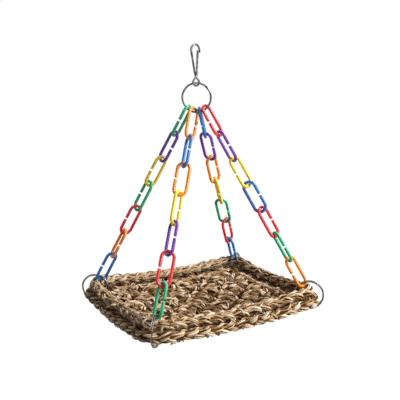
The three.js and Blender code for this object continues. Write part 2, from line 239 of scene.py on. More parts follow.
class MatSettings(bpy.types.PropertyGroup):
    """Shape and colours of the seagrass mat"""

    length: metres("Length", "Length of the mat, if it lay flat", 0.213)
    width: metres("Width", "Width of the mat, if it lay flat", 0.182)
    rim_plait: metres("Rim Plait", "Thickness of a rim's plait", 0.0115)
    rim_step_in: metres("Rim Step In", "How far the inner rim lies inside the outer one", 0.006)
    rim_inner_bend: metres("Rim Inner Bend", "Radius of the inner rim's corners at their inside", 0.0115)
    inner_face: degrees("Inner Face", "How far the inner rim's flat face is turned upwards", 50)
    clearance: metres("Clearance", "Space between pieces that touch", 0.0003)
    band_width: metres("Band Width", "Width of one plait of the field", 0.013)
    band_thickness: metres("Band Thickness", "Thickness of one plait of the field", 0.0054)
    band_tuck: metres("Band Tuck", "How far the ends of a band go into the rim", 0.003)
    edge_space: metres("Edge Space", "Edge of the field to its outermost band", 0.018)
    edge_plait_at: metres("Edge Plait Place", "Edge of the field to the middle of its plait", 0.0105)
    edge_face: degrees("Edge Face", "How far the edge plait's flat face is turned upwards", 70)
    field_drop: metres("Field Drop", "Middle of the field below the middle of the outer rim", 0.0015)
    edge_sag: metres("Edge Sag", "How far the sides hang down between the corners", 0.004)
    field_sag: metres("Field Sag", "How far the field hangs down between the sides", 0.002)
    station: metres("Station", "Distance between the sections of a blade", 0.0017)
    strays: count("Stray Blades", "Tries to lay a short blade across the plaits", 900)
    fibres: count("Loose Fibres", "Tries to set a fibre that stands out of the plaits", 420)
    tangled: count("Tangled Blades", "Tries to lay a short blade over the plaits of the left side", 2600)
    tangle_width: metres("Tangle Width", "Width of the tangled strip along the left side", 0.034)
    seed: count("Seed", "Start of the random numbers", 7)
    # straw colours along the blades' shade values, which hold each blade's own tone less its painted
    # shade; the painted shade takes the blades towards the dark stops
    dark_straw: colour("Dark Straw", "Darkest blades", (0.04, 0.012, 0.001))
    brown_straw: colour("Brown Straw", "Brown blades", (0.31, 0.164, 0.055))
    warm_straw: colour("Warm Straw", "Most of the blades", (0.61, 0.446, 0.292))
    pale_straw: colour("Pale Straw", "Palest blades", (0.82, 0.668, 0.51))


class ChainSettings(bpy.types.PropertyGroup):
    """Moulding details and colours of the links"""

    opening: metres("Opening", "Gap in the open side of a link", 0.002)
    end_round: metres("End Round", "Rounding of the rod at the gap", 0.0005)
    seam: metres("Seam", "Height of the line that the mould leaves", 0.00006)
    sides: count("Sides", "Sides of the rod", 24)
    plastic_red: colour("Red", "Red plastic", (0.7, 0.025, 0.03))
    plastic_orange: colour("Orange", "Orange plastic", (0.83, 0.27, 0.012))
    plastic_yellow: colour("Yellow", "Yellow plastic", (0.82, 0.6, 0.035))
    plastic_green: colour("Green", "Green plastic", (0.014, 0.43, 0.2))
    plastic_blue: colour("Blue", "Blue plastic", (0.016, 0.175, 0.52))
    plastic_purple: colour("Purple", "Purple plastic", (0.185, 0.032, 0.37))


class WireSettings(bpy.types.PropertyGroup):
    """Sizes and finish of the split rings and the snap hook"""

    ring_radial: metres("Ring Wire Width", "Ring wire across the ring", 0.002)
    ring_axial: metres("Ring Wire Thickness", "Ring wire along the ring's axis", 0.0012)
    ring_space: metres("Ring Turn Space", "Space between the two turns of a ring", 0.00045)
    ring_step: degrees("Ring Step", "Length of the cranked step round a ring", 50)
    top_step_at: degrees("Top Step Place", "Place of the step on the top ring", 190)
    corner_step_at: degrees("Corner Step Place", "Place of the step on a corner ring", 0)
    hook_wire: metres("Hook Wire", "Diameter of the hook's wire", 0.0022)
    hook_width: metres("Hook Width", "Outside width of the hook's bend", 0.014)
    tip_drop: metres("Tip Drop", "Straight end of the hook past its bend", 0.002)
    eye_width: metres("Eye Width", "Outside width of the eye", 0.011)
    eye_length: metres("Eye Length", "Length of the eye up to the throat", 0.0117)
    throat_space: metres("Throat Space", "Space between the wires that cross at the throat", 0.0003)
    wire_bend: metres("Wire Bend", "Rounding of the bends at the throat", 0.004)
    nickel: colour("Nickel", "Colour of the plated wire", (0.15, 0.147, 0.142))


class StageSettings(bpy.types.PropertyGroup):
    """Camera, light and floor"""

    aim: point("Aim", "Point in the middle of the view", (0, 0, -0.16))
    azimuth: degrees("Azimuth", "Turn of the camera about the vertical", -29.219)
    elevation: degrees("Elevation", "Height of the camera above the level", 10.542)
    roll: degrees("Roll", "Turn of the camera about its view", -1.5)
    distance: metres("Distance", "Camera to the point it looks at", 0.6973)
    step_right: metres("Step Right", "Camera moved to its right", 0.00085)
    step_up: metres("Step Up", "Camera moved up", -0.00114)
    focal_pixels: bpy.props.FloatProperty(
        name="Focal Length", description="Focal length in pixels of the image", default=652.1
    )
    floor_height: metres("Floor Height", "Height of the floor under the hanging swing", -0.62)
    floor_size: metres("Floor Size", "Side of the square floor", 8.0)
    ambient: share("Ambient", "Strength of the even light from all round", 0.12)
    light_drop: metres("Light Drop", "How far below the aim the lights point", 0.08)
    key_place: point("Key Place", "Where the key light stands", (0.75, -0.62, 0.62))
    key_power: watts("Key Power", "Power of the key light", 20.5)
    key_size: metres("Key Size", "Side of the key light", 0.3)
    fill_place: point("Fill Place", "Where the fill light stands", (0.6, -1.1, 0.3))
    fill_power: watts("Fill Power", "Power of the fill light", 11.5)
    fill_size: metres("Fill Size", "Side of the fill light", 0.9)
    back_place: point("Back Place", "Where the back light stands", (0.2, 0.9, 0.75))
    back_power: watts("Back Power", "Power of the back light", 7.0)
    back_size: metres("Back Size", "Side of the back light", 0.8)


# Meshes


def unit(vectors):
    """Vectors at unit length"""
    return vectors / np.linalg.norm(vectors, axis=-1, keepdims=True)


def square_to(vectors, along):
    """The part of each vector that is square to a direction, at unit length"""
    return unit(vectors - np.sum(vectors * along, axis=-1, keepdims=True) * along)


def directions(points, closed):
    """Direction of a run of points at each of them"""
    if closed:
        steps = np.roll(points, -1, axis=0) - np.roll(points, 1, axis=0)
    else:
        steps = np.gradient(points, axis=0)
    return unit(steps)


def oval(width, thickness, sides):
    """Points of an oval section as (across, up), from the across side round to the top"""
    turn = np.arange(sides) / sides * FULL_TURN
    return np.stack([np.cos(turn) * width / 2, np.sin(turn) * thickness / 2], axis=-1)


def sweep(middles, across, up, section):
    """Rings of a section along a run of middles; the section may change from ring to ring"""
    return middles[:, None] + section[..., 0:1] * across[:, None] + section[..., 1:2] * up[:, None]


def with_round_ends(middles, across, up, section, ease, depth, narrowing):
    """Rings of a rod with rounded, narrower ends; ease has an angle for each ring of a rounding"""
    along = directions(middles, False)
    shrink = 1 - narrowing * (1 - np.cos(ease))
    caps = []
    for end, sign in ((0, -1), (-1, 1)):
        places = middles[end] + sign * depth * np.sin(ease)[:, None] * along[end]
        caps.append(sweep(places, across[[end]], up[[end]], section * shrink[:, None, None]))
    first, last = caps
    return np.concatenate([first[::-1], sweep(middles, across, up, section), last])


def unrolled(rows, sides, closed):
    """Places of a tube's face corners on a unit square: a strip for the tube and a disc for each end"""
    along, around = np.mgrid[1:rows + 1, 0:sides]
    along = np.stack([along, along, along + 1, along + 1], axis=-1)
    around = np.stack([around, around + 1, around + 1, around], axis=-1) / sides
    strip = np.stack([along, around], axis=-1).reshape(-1, 2)
    disc = 0.5 + oval(END_DISC, END_DISC, sides)
    ends = [] if closed else [disc[::-1], disc + [rows + 1, 0]]
    return np.concatenate([strip] + ends) / [rows + 2, 1]


class Tubes:
    """Swept tubes gathered into one mesh, with the values that its material reads"""

    def __init__(self):
        self.points = []
        self.faces = []
        self.shade = []
        self.grain = []
        self.patches = []
        self.sizes = []
        self.total = 0

    def add(self, rings, closed=False, shade=None, grain=None):
        """One tube from its rings of points, with a shade and a place in the grain for each point"""
        stations, sides = rings.shape[:2]
        index = self.total + np.arange(stations * sides).reshape(stations, sides)
        here = index if closed else index[:-1]
        after = np.roll(index, -1, axis=0) if closed else index[1:]
        quads = np.stack([here, np.roll(here, -1, 1), np.roll(after, -1, 1), after], axis=-1)
        self.faces += quads.reshape(-1, 4).tolist()
        if not closed:
            self.faces.append(index[0, ::-1].tolist())
            self.faces.append(index[-1].tolist())
        self.points.append(rings.reshape(-1, 3))
        if shade is not None:
            self.shade.append(shade.ravel())
            self.grain.append(grain.reshape(-1, 3))
            self.patches.append(unrolled(len(here), sides, closed))
            self.sizes.append((stations, sides))
        self.total += stations * sides

    def laid_out(self):
        """Places of all face corners on one square, with the tubes side by side"""
        stations, sides = np.mean(self.sizes, axis=0)
        tubes = len(self.patches)
        columns = max(1, round(math.sqrt(tubes * sides / stations)))
        rows = math.ceil(tubes / columns)
        places = []
        for number, patch in enumerate(self.patches):
            cell = divmod(number, rows)
            places.append(np.add(cell, PATCH_GAP + (1 - 2 * PATCH_GAP) * patch))
        return np.concatenate(places) / [columns, rows]

    def build(self, name, material, shape=None):
        """An object of all the tubes, with their points moved by shape where one is given"""
        points = np.concatenate(self.points)
        if shape is not None:
            points = shape(points)
        mesh = bpy.data.meshes.new(name)
        mesh.from_pydata(points.tolist(), [], self.faces)
        if self.shade:
            shade = mesh.attributes.new("shade", "FLOAT", "POINT")
            shade.data.foreach_set("value", np.concatenate(self.shade))
            grain = mesh.attributes.new("grain", "FLOAT_VECTOR", "POINT")
            grain.data.foreach_set("vector", np.concatenate(self.grain).ravel())
            layout = mesh.uv_layers.new(name=MAP_NAME)
            layout.uv.foreach_set("vector", self.laid_out().ravel())
        mesh.materials.append(material)
        mesh.shade_smooth()
        piece = bpy.data.objects.new(name, mesh)
        bpy.context.scene.collection.objects.link(piece)
        return piece


def dress(piece, node, body):
    """Puts a piece on its body in the place of a node of the frame, and hides the node's solid"""
    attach(piece, body)
    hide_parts(node)


def node_points(node):
    """Corners of a node's solid"""
    vertices = frame["nodes"][node].data.vertices
    points = np.zeros(len(vertices) * 3)
    vertices.foreach_get("co", points)
    return points.reshape(-1, 3)


def joint_to(body):
    """The joint that carries a body"""
    return next(joint for joint in frame["joints"] if joint["child"] == body)


# Materials


class Nodes:
    """A material's node tree, with short calls to add and join nodes"""

    def __init__(self, name):
        self.material = bpy.data.materials.new(name)
        self.material.use_nodes = True
        self.tree = self.material.node_tree
        self.shader = self.tree.nodes["Principled BSDF"]

    def add(self, kind, inputs=None, **settings):
        """A node with its settings, and inputs that are values or the sockets of other nodes"""
        node = self.tree.nodes.new(kind)
        for key, value in settings.items():
            setattr(node, key, value)
        for key, value in (inputs or {}).items():
            if isinstance(value, bpy.types.NodeSocket):
                self.tree.links.new(value, node.inputs[key])
            else:
                node.inputs[key].default_value = value
        return node

    def ramp(self, factor, stops):
        """A colour that goes from stop to stop with a factor"""
        node = self.add("ShaderNodeValToRGB", {"Fac": factor})
        elements = node.color_ramp.elements
        while len(elements) < len(stops):
            elements.new(1.0)
        for element, (position, value) in zip(elements, stops):
            element.position = position
            element.color = (*value, 1.0)
        return node.outputs["Color"]

    def noise(self, vector, scale, detail):
        node = self.add("ShaderNodeTexNoise", {"Vector": vector, "Scale": scale, "Detail": detail})
        return node.outputs["Fac"]

    def spread(self, value, low, high):
        """A value of 0.3 to 0.7, as noise gives, spread from low to high"""
        inputs = {"Value": value, "From Min": 0.3, "From Max": 0.7, "To Min": low, "To Max": high}
        return self.add("ShaderNodeMapRange", inputs).outputs["Result"]

    def shaded(self, base, factor):
        """A colour times a factor"""
        node = self.add("ShaderNodeMix", data_type="RGBA", blend_type="MULTIPLY")
        grey = self.add("ShaderNodeCombineColor", {"Red": factor, "Green": factor, "Blue": factor})
        node.inputs["Factor"].default_value = 1.0
        self.tree.links.new(base, node.inputs["A"])
        self.tree.links.new(grey.outputs["Color"], node.inputs["B"])
        return node.outputs["Result"]

    def finish(self, sockets):
        """The material, with these values or sockets on its shader"""
        for key, value in sockets.items():
            if isinstance(value, bpy.types.NodeSocket):
                self.tree.links.new(value, self.shader.inputs[key])
            else:
                self.shader.inputs[key].default_value = value
        return self.material

    def bump(self, height, strength, distance):
        inputs = {"Height": height, "Strength": strength, "Distance": distance}
        return self.add("ShaderNodeBump", inputs).outputs["Normal"]


def seagrass_material(mat):
    """Dry leaf: a colour for each blade from its shade values, which hold its own tone and painted
    shade, streaks along its fibres, darker blotches and fine ridges
    """
    nodes = Nodes("seagrass_blades")
    shade = nodes.add("ShaderNodeAttribute", attribute_name="shade").outputs["Fac"]
    grain = nodes.add("ShaderNodeAttribute", attribute_name="grain").outputs["Vector"]
    place = nodes.add("ShaderNodeTexCoord").outputs["Object"]
    blade = nodes.ramp(
        shade,
        [(0.0, mat.dark_straw), (0.3, mat.brown_straw), (0.65, mat.warm_straw), (1.0, mat.pale_straw)],
    )
    streak = nodes.noise(grain, scale=4.0, detail=4.0)
    blotch = nodes.noise(place, scale=160.0, detail=2.0)
    streaked = nodes.shaded(blade, nodes.spread(streak, low=0.72, high=1.14))
    return nodes.finish({
        "Base Color": nodes.shaded(streaked, nodes.spread(blotch, low=0.82, high=1.1)),
        "Roughness": nodes.spread(streak, low=0.55, high=0.8),
        "Normal": nodes.bump(streak, strength=0.6, distance=0.0005),
        "Specular IOR Level": 0.1,
    })


def plastic_material(slot, base):
    """Glossy moulded plastic that lets a little light through, with faint flow marks"""
    nodes = Nodes(slot + "_moulded")
    place = nodes.add("ShaderNodeTexCoord").outputs["Object"]
    flow = nodes.noise(place, scale=90.0, detail=2.0)
    fine = nodes.noise(place, scale=900.0, detail=2.0)
    mark = [FLOW_MARK * part for part in base]
    return nodes.finish({
        "Base Color": nodes.ramp(flow, [(0.35, mark), (0.65, base)]),
        "Roughness": nodes.spread(fine, low=0.2, high=0.3),
        "Normal": nodes.bump(flow, strength=0.08, distance=0.0006),
        "Subsurface Weight": 0.6,
        "Subsurface Radius": (1.0, 0.9, 0.8),
        "Subsurface Scale": 0.003,
        "Specular IOR Level": 0.35,
        "Coat Weight": 0.2,
        "Coat Roughness": 0.08,
    })


def nickel_material(wire):
    """Nickel-plated wire with fine drawing lines and duller patches"""
    nodes = Nodes("nickel_plated_wire")
    place = nodes.add("ShaderNodeTexCoord").outputs["Object"]
    patch = nodes.noise(place, scale=220.0, detail=3.0)
    scratch = nodes.noise(place, scale=1800.0, detail=2.0)
    dull = [DULL_PATCH * part for part in wire.nickel]
    bright = [BRIGHT_PATCH * part for part in wire.nickel]
    return nodes.finish({
        "Base Color": nodes.ramp(patch, [(0.35, dull), (0.65, bright)]),
        "Metallic": 1.0,
        "Roughness": nodes.spread(patch, low=0.18, high=0.34),
        "Normal": nodes.bump(scratch, strength=0.12, distance=0.0001),
    })


def background_rays(tree):
    """1 for rays from the camera and those that shiny or clear surfaces send on, 0 for the rest"""
    path = tree.nodes.new("ShaderNodeLightPath")
    seen = path.outputs["Is Camera Ray"]
    for output in ("Is Glossy Ray", "Is Transmission Ray"):
        both = tree.nodes.new("ShaderNodeMath")
        both.operation = "MAXIMUM"
        tree.links.new(seen, both.inputs[0])
        tree.links.new(path.outputs[output], both.inputs[1])
        seen = both.outputs["Value"]
    return seen


def floor_material():
    """Pale floor that shows white, with a soft shadow left in it"""
    nodes = Nodes("pale_floor")
    place = nodes.add("ShaderNodeTexCoord").outputs["Object"]
    cloud = nodes.noise(place, scale=5.0, detail=3.0)
    darker, paler = [(grey, grey, grey) for grey in FLOOR_GREYS]
    nodes.finish({
        "Base Color": nodes.ramp(cloud, [(0.3, darker), (0.7, paler)]),
        "Roughness": 0.9,
        "Specular IOR Level": 0.1,
    })
    white = nodes.add("ShaderNodeEmission", {"Strength": FLOOR_GLOW})
    seen = background_rays(nodes.tree)
    cleared = nodes.add("ShaderNodeMath", {0: seen, 1: FLOOR_CLEARED}, operation="MULTIPLY")
    mix = nodes.add("ShaderNodeMixShader", {
        0: cleared.outputs["Value"],
        1: nodes.shader.outputs["BSDF"],
        2: white.outputs["Emission"],
    })
    output = nodes.tree.nodes["Material Output"]
    nodes.tree.links.new(mix.outputs["Shader"], output.inputs["Surface"])
    return nodes.material


# Plaits


class Route:
    """A run of stations with the sideways and face directions of a plait"""

    def __init__(self, middles, faces, closed):
        self.middles = middles
        self.closed = closed
        self.along = directions(middles, closed)
        self.up = square_to(faces, self.along)
        self.across = np.cross(self.up, self.along)
        after = np.roll(middles, -1, axis=0) if closed else middles[1:]
        steps = np.linalg.norm(after - middles[:len(after)], axis=1)
        self.length = steps.sum()
        run = np.concatenate([[0.0], np.cumsum(steps)])
        self.run = run[:len(middles)]


def wander(rng, route, drift):
    """A smooth random value along a route, which closes on itself"""
    reach, longest, shortest = drift
    value = np.zeros(len(route.run))
    for wave in np.geomspace(longest, shortest, WAVES):
        cycles = max(round(route.length / wave * rng.uniform(*WAVE_COUNTS)), 1)
        value += np.sin(FULL_TURN * (cycles * route.run / route.length + rng.random()))
    return reach * value / math.sqrt(WAVES)


def depth_in(points, route, plait):
    """How deep points lie inside a plait: 0 at its surface, 1 at its middle"""
    offsets = points - route.middles[:, None]
    side = np.sum(offsets * route.across[:, None], axis=-1)
    high = np.sum(offsets * route.up[:, None], axis=-1)
    half_width = plait.swing + plait.ply_reach_side + plait.blade_width / 2
    half_height = plait.rise + plait.ply_reach_up + plait.blade_thickness / 2
    return np.clip(1 - np.hypot(side / half_width, high / half_height), 0, 1)


def add_blade(tubes, rng, middles, faces, route, plait, tone):
    """One blade of seagrass: a creased oval that swells, thins and turns a little on its way"""
    along = directions(middles, route.closed)
    up = square_to(faces, along)
    across = np.cross(up, along)
    size = rng.uniform(*BLADE_SIZES)
    width = plait.blade_width * size * (1 + wander(rng, route, BLADE_WIDTH_DRIFT))
    thickness = plait.blade_thickness * (1 + wander(rng, route, BLADE_THICKNESS_DRIFT))
    tilt = wander(rng, route, BLADE_TILT_DRIFT)
    turn = np.arange(BLADE_SIDES) / BLADE_SIDES * FULL_TURN
    crease = 1 - CREASE_DEPTH * np.cos(turn - math.pi / 2) ** CREASE_POWER
    flat = np.cos(turn)[None] * width[:, None] / 2
    high = (np.sin(turn) * crease)[None] * thickness[:, None] / 2
    cosine = np.cos(tilt)[:, None]
    sine = np.sin(tilt)[:, None]
    section = np.stack([flat * cosine - high * sine, flat * sine + high * cosine], axis=-1)
    rings = sweep(middles, across, up, section)
    shade = rng.normal(tone, TONE_SPREAD) + wander(rng, route, BLADE_TONE_DRIFT)
    # painted shade: the sides and underside of each blade are painted darker than its top
    painted_flank_shade = FLANK_PAINTED_SHADE * (1 - np.sin(turn))
    # painted shade: each blade is painted darker towards the middle of its plait, where the plies shade
    # one another
    shade = np.clip(shade[:, None] - painted_flank_shade - DEPTH_PAINTED_SHADE * depth_in(rings, route, plait), 0, 1)
    grain = np.empty(rings.shape)
    grain[..., 0] = np.cos(turn)
    grain[..., 1] = np.sin(turn)
    grain[..., 2] = (route.run / GRAIN_LENGTH)[:, None]
    grain += rng.uniform(0, GRAIN_SHIFT, 3)
    tubes.add(rings, route.closed, shade, grain)


def add_core(tubes, rng, route, plait):
    """The inside of a plait, seen only between its plies: a filled core painted at the darkest tone and
    leaves along it at a darker tone, as painted shade
    """
    section = oval(plait.core_width, plait.core_thickness, plait.core_leaves)
    rings = sweep(route.middles, route.across, route.up, section)
    # painted shade: the core is painted at the darkest straw, standing in for the shadow between the
    # plies
    shade = np.zeros(rings.shape[:2])
    tubes.add(rings, route.closed, shade, rings / plait.blade_width)
    for leaf in range(plait.core_leaves):
        drift = plait.blade_width * wander(rng, route, CORE_LEAF_DRIFT)[:, None]
        faces = rings[:, leaf] - route.middles
        middles = rings[:, leaf] + drift * np.cross(unit(faces), route.along)
        add_blade(tubes, rng, middles, faces, route, plait, plait.core_tone)


def add_plait(tubes, rng, route, plait):
    """Three plies that pass over and under each other, each a bundle of blades"""
    crossings = max(round(route.length / plait.pitch), 1)
    lays = max(round(route.length / plait.lay), 1)
    start = rng.random()
    add_core(tubes, rng, route, plait)
    for ply in range(PLIES):
        phase = FULL_TURN * (crossings * route.run / route.length + start + ply / PLIES)
        phase = phase + wander(rng, route, PLY_DRIFT)
        zigzag = np.arcsin(FOLD * np.sin(phase)) / math.asin(FOLD)
        middles = route.middles + (plait.swing * zigzag)[:, None] * route.across
        ride_over = np.tanh(RIDE * np.sin(2 * phase)) / math.tanh(RIDE)
        middles = middles + (plait.rise * ride_over)[:, None] * route.up
        along = directions(middles, route.closed)
        up = square_to(route.up, along)
        across = np.cross(up, along)
        lay_start = rng.random()
        for blade in range(plait.blades):
            turn = FULL_TURN * (lays * route.run / route.length + lay_start + blade / plait.blades)
            turn = turn + wander(rng, route, LAY_DRIFT)
            side = np.cos(turn)[:, None]
            top = np.sin(turn)[:, None]
            reach_side = plait.ply_reach_side * (1 + wander(rng, route, REACH_DRIFT))[:, None]
            reach_up = plait.ply_reach_up * (1 + wander(rng, route, REACH_DRIFT))[:, None]
            blade_middles = middles + side * reach_side * across + top * reach_up * up
            faces = side / plait.ply_reach_side * across + top / plait.ply_reach_up * up
            add_blade(tubes, rng, blade_middles, faces, route, plait, BLADE_TONE)


class MatPlan:
    """Places in the mat if it lay flat, and how far they move in the hanging mat"""

    def __init__(self, mat):
        self.mat = mat
        self.inner_path = mat.rim_inner_bend + mat.rim_plait / 2
        self.outer_path = self.inner_path + mat.rim_step_in
        self.field_bend = mat.rim_inner_bend + mat.rim_step_in
        self.middle = np.array([mat.length, mat.width]) / 2 - mat.rim_plait / 2 - self.outer_path
        self.field = self.middle + self.field_bend - mat.clearance
        self.step_up = math.sqrt((mat.rim_plait + mat.clearance) ** 2 - mat.rim_step_in ** 2)
        self.corners = [self.corner(np.array(signs)) for signs in ((-1, 1), (-1, -1), (1, 1), (1, -1))]
        self.height = sum(height for signs, spread, height in self.corners) / len(self.corners)

    def corner(self, signs):
        """Signs of a corner, how far it is spread along the mat, and the height of its outer rim"""
        points = node_points("outer_rim_plait")
        bend = np.all(points[:, :2] * signs > self.middle + self.mat.rim_plait / 4, axis=1)
        spread = np.abs(points[bend, 0]).max() - self.mat.length / 2
        return signs, spread, points[bend, 2].mean()

    def draped(self, points):
        """Points of the flat mat, moved to where they hang"""
        u, v = np.clip(points[:, :2] / self.middle, -1, 1).T
        moved = points.copy()
        moved[:, 2] += self.height - self.mat.edge_sag * (1 - (u * v) ** 2)
        moved[:, 2] -= self.mat.field_sag * (1 - u * u) * (1 - v * v)
        for (sign_x, sign_y), spread, height in self.corners:
            pull = (1 + sign_x * u) * (1 + sign_y * v) / 4
            moved[:, 0] += sign_x * spread * pull
            moved[:, 2] += (height - self.height) * pull
        return moved

    def loop(self, path, height, face_turn):
        """Route of a plait round the mat, at a distance outside the middles of its corner bends"""
        outline = []
        for quarter, (sign_x, sign_y) in enumerate(((1, 1), (-1, 1), (-1, -1), (1, -1))):
            turn = FULL_TURN / 4 * (quarter + np.linspace(0, 1, CORNER_STEPS + 1))
            x = sign_x * self.middle[0] + path * np.cos(turn)
            y = sign_y * self.middle[1] + path * np.sin(turn)
            outline.append(np.stack([x, y, np.full_like(x, height)], axis=-1))
        outline = np.concatenate(outline)
        closing = np.vstack([outline, outline[:1]])
        run = np.concatenate([[0], np.cumsum(np.linalg.norm(np.diff(closing, axis=0), axis=1))])
        places = np.arange(0, run[-1], run[-1] / round(run[-1] / self.mat.station))
        middles = np.stack([np.interp(places, run, closing[:, axis]) for axis in range(3)], axis=-1)
        outward = np.cross(directions(middles, True), Z_AXIS)
        faces = math.cos(face_turn) * outward + math.sin(face_turn) * Z_AXIS
        return Route(middles, faces, True)

    def band_places(self, axis, total):
        """Places of the parallel bands that share the field, along one axis"""
        room = 2 * (self.field[axis] - self.mat.edge_space) - self.mat.band_width
        return (np.arange(total) / (total - 1) - 0.5) * room

    def band(self, axis, place, crossings, starts_over):
        """Route of a band of the field along one axis, over and under the bands that cross it"""
        mat = self.mat
        into_bend = max(abs(place) + mat.band_width / 2 - self.field[1 - axis] + self.field_bend, 0)
        cut_off = self.field_bend - math.sqrt(max(self.field_bend ** 2 - into_bend ** 2, 0))
        end = self.field[axis] - cut_off + mat.band_tuck
        run = np.linspace(-end, end, round(2 * end / mat.station))
        spot = np.interp(run, crossings, np.arange(len(crossings)))
        before = np.minimum(spot.astype(int), len(crossings) - 2)
        ease = (1 - np.cos(math.pi * (spot - before))) / 2
        over = (-1) ** (before + (not starts_over))
        middles = np.empty((len(run), 3))
        middles[:, axis] = run
        middles[:, 1 - axis] = place
        middles[:, 2] = over * (1 - 2 * ease) * (mat.band_thickness + mat.clearance) / 2 - mat.field_drop
        return Route(middles, np.tile(Z_AXIS, (len(run), 1)), False)


def seagrass(mat):
    """The straw's material, made when it is first asked for"""
    return bpy.data.materials.get("seagrass_blades") or seagrass_material(mat)


class SWING_OT_rim_plaits(bpy.types.Operator):
    """Plait the two rims round the mat"""

    bl_idname = "swing.rim_plaits"
    bl_label = "Rim Plaits"

    def execute(self, context):
        mat = context.scene.swing_mat
        plan = MatPlan(mat)
        routes = {
            "outer_rim_plait": plan.loop(plan.outer_path, 0, 0),
            "inner_rim_plait": plan.loop(plan.inner_path, plan.step_up, mat.inner_face),
        }
        for number, (node, route) in enumerate(routes.items()):
            rng = np.random.default_rng([mat.seed, number])
            tubes = Tubes()
            add_plait(tubes, rng, route, context.scene.swing_rim_plait)
            dress(tubes.build(node + "_blades", seagrass(mat), plan.draped), node, MAT_BODY)
        return {"FINISHED"}


class SWING_OT_field_plaits(bpy.types.Operator):
    """Weave the field of the mat from plaits"""

    bl_idname = "swing.field_plaits"
    bl_label = "Field Plaits"

    def execute(self, context):
        mat = context.scene.swing_mat
        plait = context.scene.swing_band_plait
        plan = MatPlan(mat)
        kinds = ("lengthwise_band_", "crosswise_band_")
        totals = [sum(node.startswith(kind) for node in frame["nodes"]) for kind in kinds]
        for axis, kind in enumerate(kinds):
            crossings = plan.band_places(axis, totals[1 - axis])
            for number, place in enumerate(plan.band_places(1 - axis, totals[axis])):
                starts_over = number % 2 == axis
                route = plan.band(axis, place, crossings, starts_over)
                node = f"{kind}{number + 1}"
                rng = np.random.default_rng([mat.seed, 2 + axis, number])
                tubes = Tubes()
                add_plait(tubes, rng, route, plait)
                dress(tubes.build(node + "_blades", seagrass(mat), plan.draped), node, MAT_BODY)
        route = plan.loop(plan.field_bend - mat.edge_plait_at, 0, mat.edge_face)
        tubes = Tubes()
        add_plait(tubes, np.random.default_rng([mat.seed, 4]), route, plait)
        edge = tubes.build("field_edge_blades", seagrass(mat), plan.draped)
        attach(edge, MAT_BODY)
        return {"FINISHED"}


class SWING_OT_loose_blades(bpy.types.Operator):
    """Add short blades that lie across the plaits, and fibres that stand out of them"""

    bl_idname = "swing.loose_blades"
    bl_label = "Loose Blades"

    def execute(self, context):
        mat = context.scene.swing_mat
        rng = np.random.default_rng([mat.seed, 5])
        pieces = [piece for piece in bpy.data.objects if piece.name.endswith("_blades")]
        strays = Tubes()
        fibres = Tubes()
        for root, normal in self.spots(rng, pieces, mat.strays):
            if normal[2] > 0:
                self.add_stray(strays, rng, root, normal)
        for root, normal in self.spots(rng, pieces, mat.fibres):
            if normal[2] > 0:
                self.add_fibre(fibres, rng, root, normal)
        edges = [piece for piece in pieces if piece.name.startswith(("inner_rim", "field_edge"))]
        for root, normal in self.spots(rng, edges, mat.tangled):
            if normal[2] > TANGLE_UPWARD and root[0] < mat.tangle_width - mat.length / 2:
                self.add_stray(strays, rng, root, normal)
        for name, tubes in (("stray_blades", strays), ("loose_fibres", fibres)):
            piece = tubes.build(name, seagrass(mat))
            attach(piece, MAT_BODY)
        return {"FINISHED"}

    def spots(self, rng, pieces, total):
        """Random points of the pieces in turn, each with the direction that its surface faces"""
        for number in range(total):
            vertices = pieces[number % len(pieces)].data.vertices
            vertex = vertices[int(rng.integers(len(vertices)))]
            yield np.array(vertex.co), np.array(vertex.normal)

    def add_stray(self, tubes, rng, root, normal):
        """A short blade over the top of a plait, with both ends tucked in"""
        reach = rng.uniform(*STRAY_REACH)
        lean = square_to(rng.normal(size=3), normal)
        run = np.linspace(-1, 1, STRAY_STATIONS)[:, None]
        height = STRAY_LIFT - (reach * run) ** 2 / (2 * STRAY_BEND)
        middles = root + reach * run * lean + height * normal
        along = directions(middles, False)
        up = square_to(np.tile(normal, (len(run), 1)), along)
        section = oval(rng.uniform(*STRAY_WIDTH), rng.uniform(*STRAY_THICKNESS), BLADE_SIDES)
        near_end = run ** 4
        section = section * (1 - STRAY_TAPER * near_end[:, :, None])
        rings = sweep(middles, np.cross(up, along), up, section)
        # painted shade at its ends, where they dip into the plait
        shade = np.full(rings.shape[:2], rng.uniform(*STRAY_TONE)) - STRAY_END_PAINTED_SHADE * near_end
        tubes.add(rings, False, np.clip(shade, 0, 1), rings / STRAY_GRAIN)

    def add_fibre(self, tubes, rng, root, normal):
        """A thin fibre that lies along the plait and lifts off towards its end"""
        reach = rng.uniform(*FIBRE_REACH)
        lean = square_to(rng.normal(size=3), normal)
        run = np.linspace(FIBRE_START, 1, FIBRE_STATIONS)[:, None]
        lift = rng.uniform(*FIBRE_LIFT)
        middles = root + reach * (run * lean + lift * run * np.abs(run) * normal)
        along = directions(middles, False)
        up = square_to(np.tile(normal, (len(run), 1)), along)
        section = oval(rng.uniform(*FIBRE_WIDTH), FIBRE_THICKNESS, FIBRE_SIDES)
        section = section * (FIBRE_FULLNESS - run[:, :, None] ** 2 * FIBRE_TAPER)
        rings = sweep(middles, np.cross(up, along), up, section)
        shade = np.full(rings.shape[:2], rng.uniform(*FIBRE_TONE))
        tubes.add(rings, False, shade, rings / reach)


# Links


def link_route(bend, straight, half_opening, end_round):
    """Middle line of a link in its own plane, from one side of the gap round to the other, as (x, z)"""
    turn = np.linspace(0, math.pi, LINK_BEND_STEPS + 1)
    top = np.stack([bend * np.cos(turn), straight + bend * np.sin(turn)], axis=-1)
    side = np.linspace(half_opening + end_round, straight, LINK_OPEN_STEPS + 1)[:-1]
    open_side = np.stack([np.full_like(side, bend), side], axis=-1)
    side = np.linspace(straight, -straight, LINK_BACK_STEPS + 1)[1:-1]
    closed_side = np.stack([np.full_like(side, -bend), side], axis=-1)
    half = np.vstack([open_side, top])
    return np.vstack([half, closed_side, half[::-1] * (1, -1)])


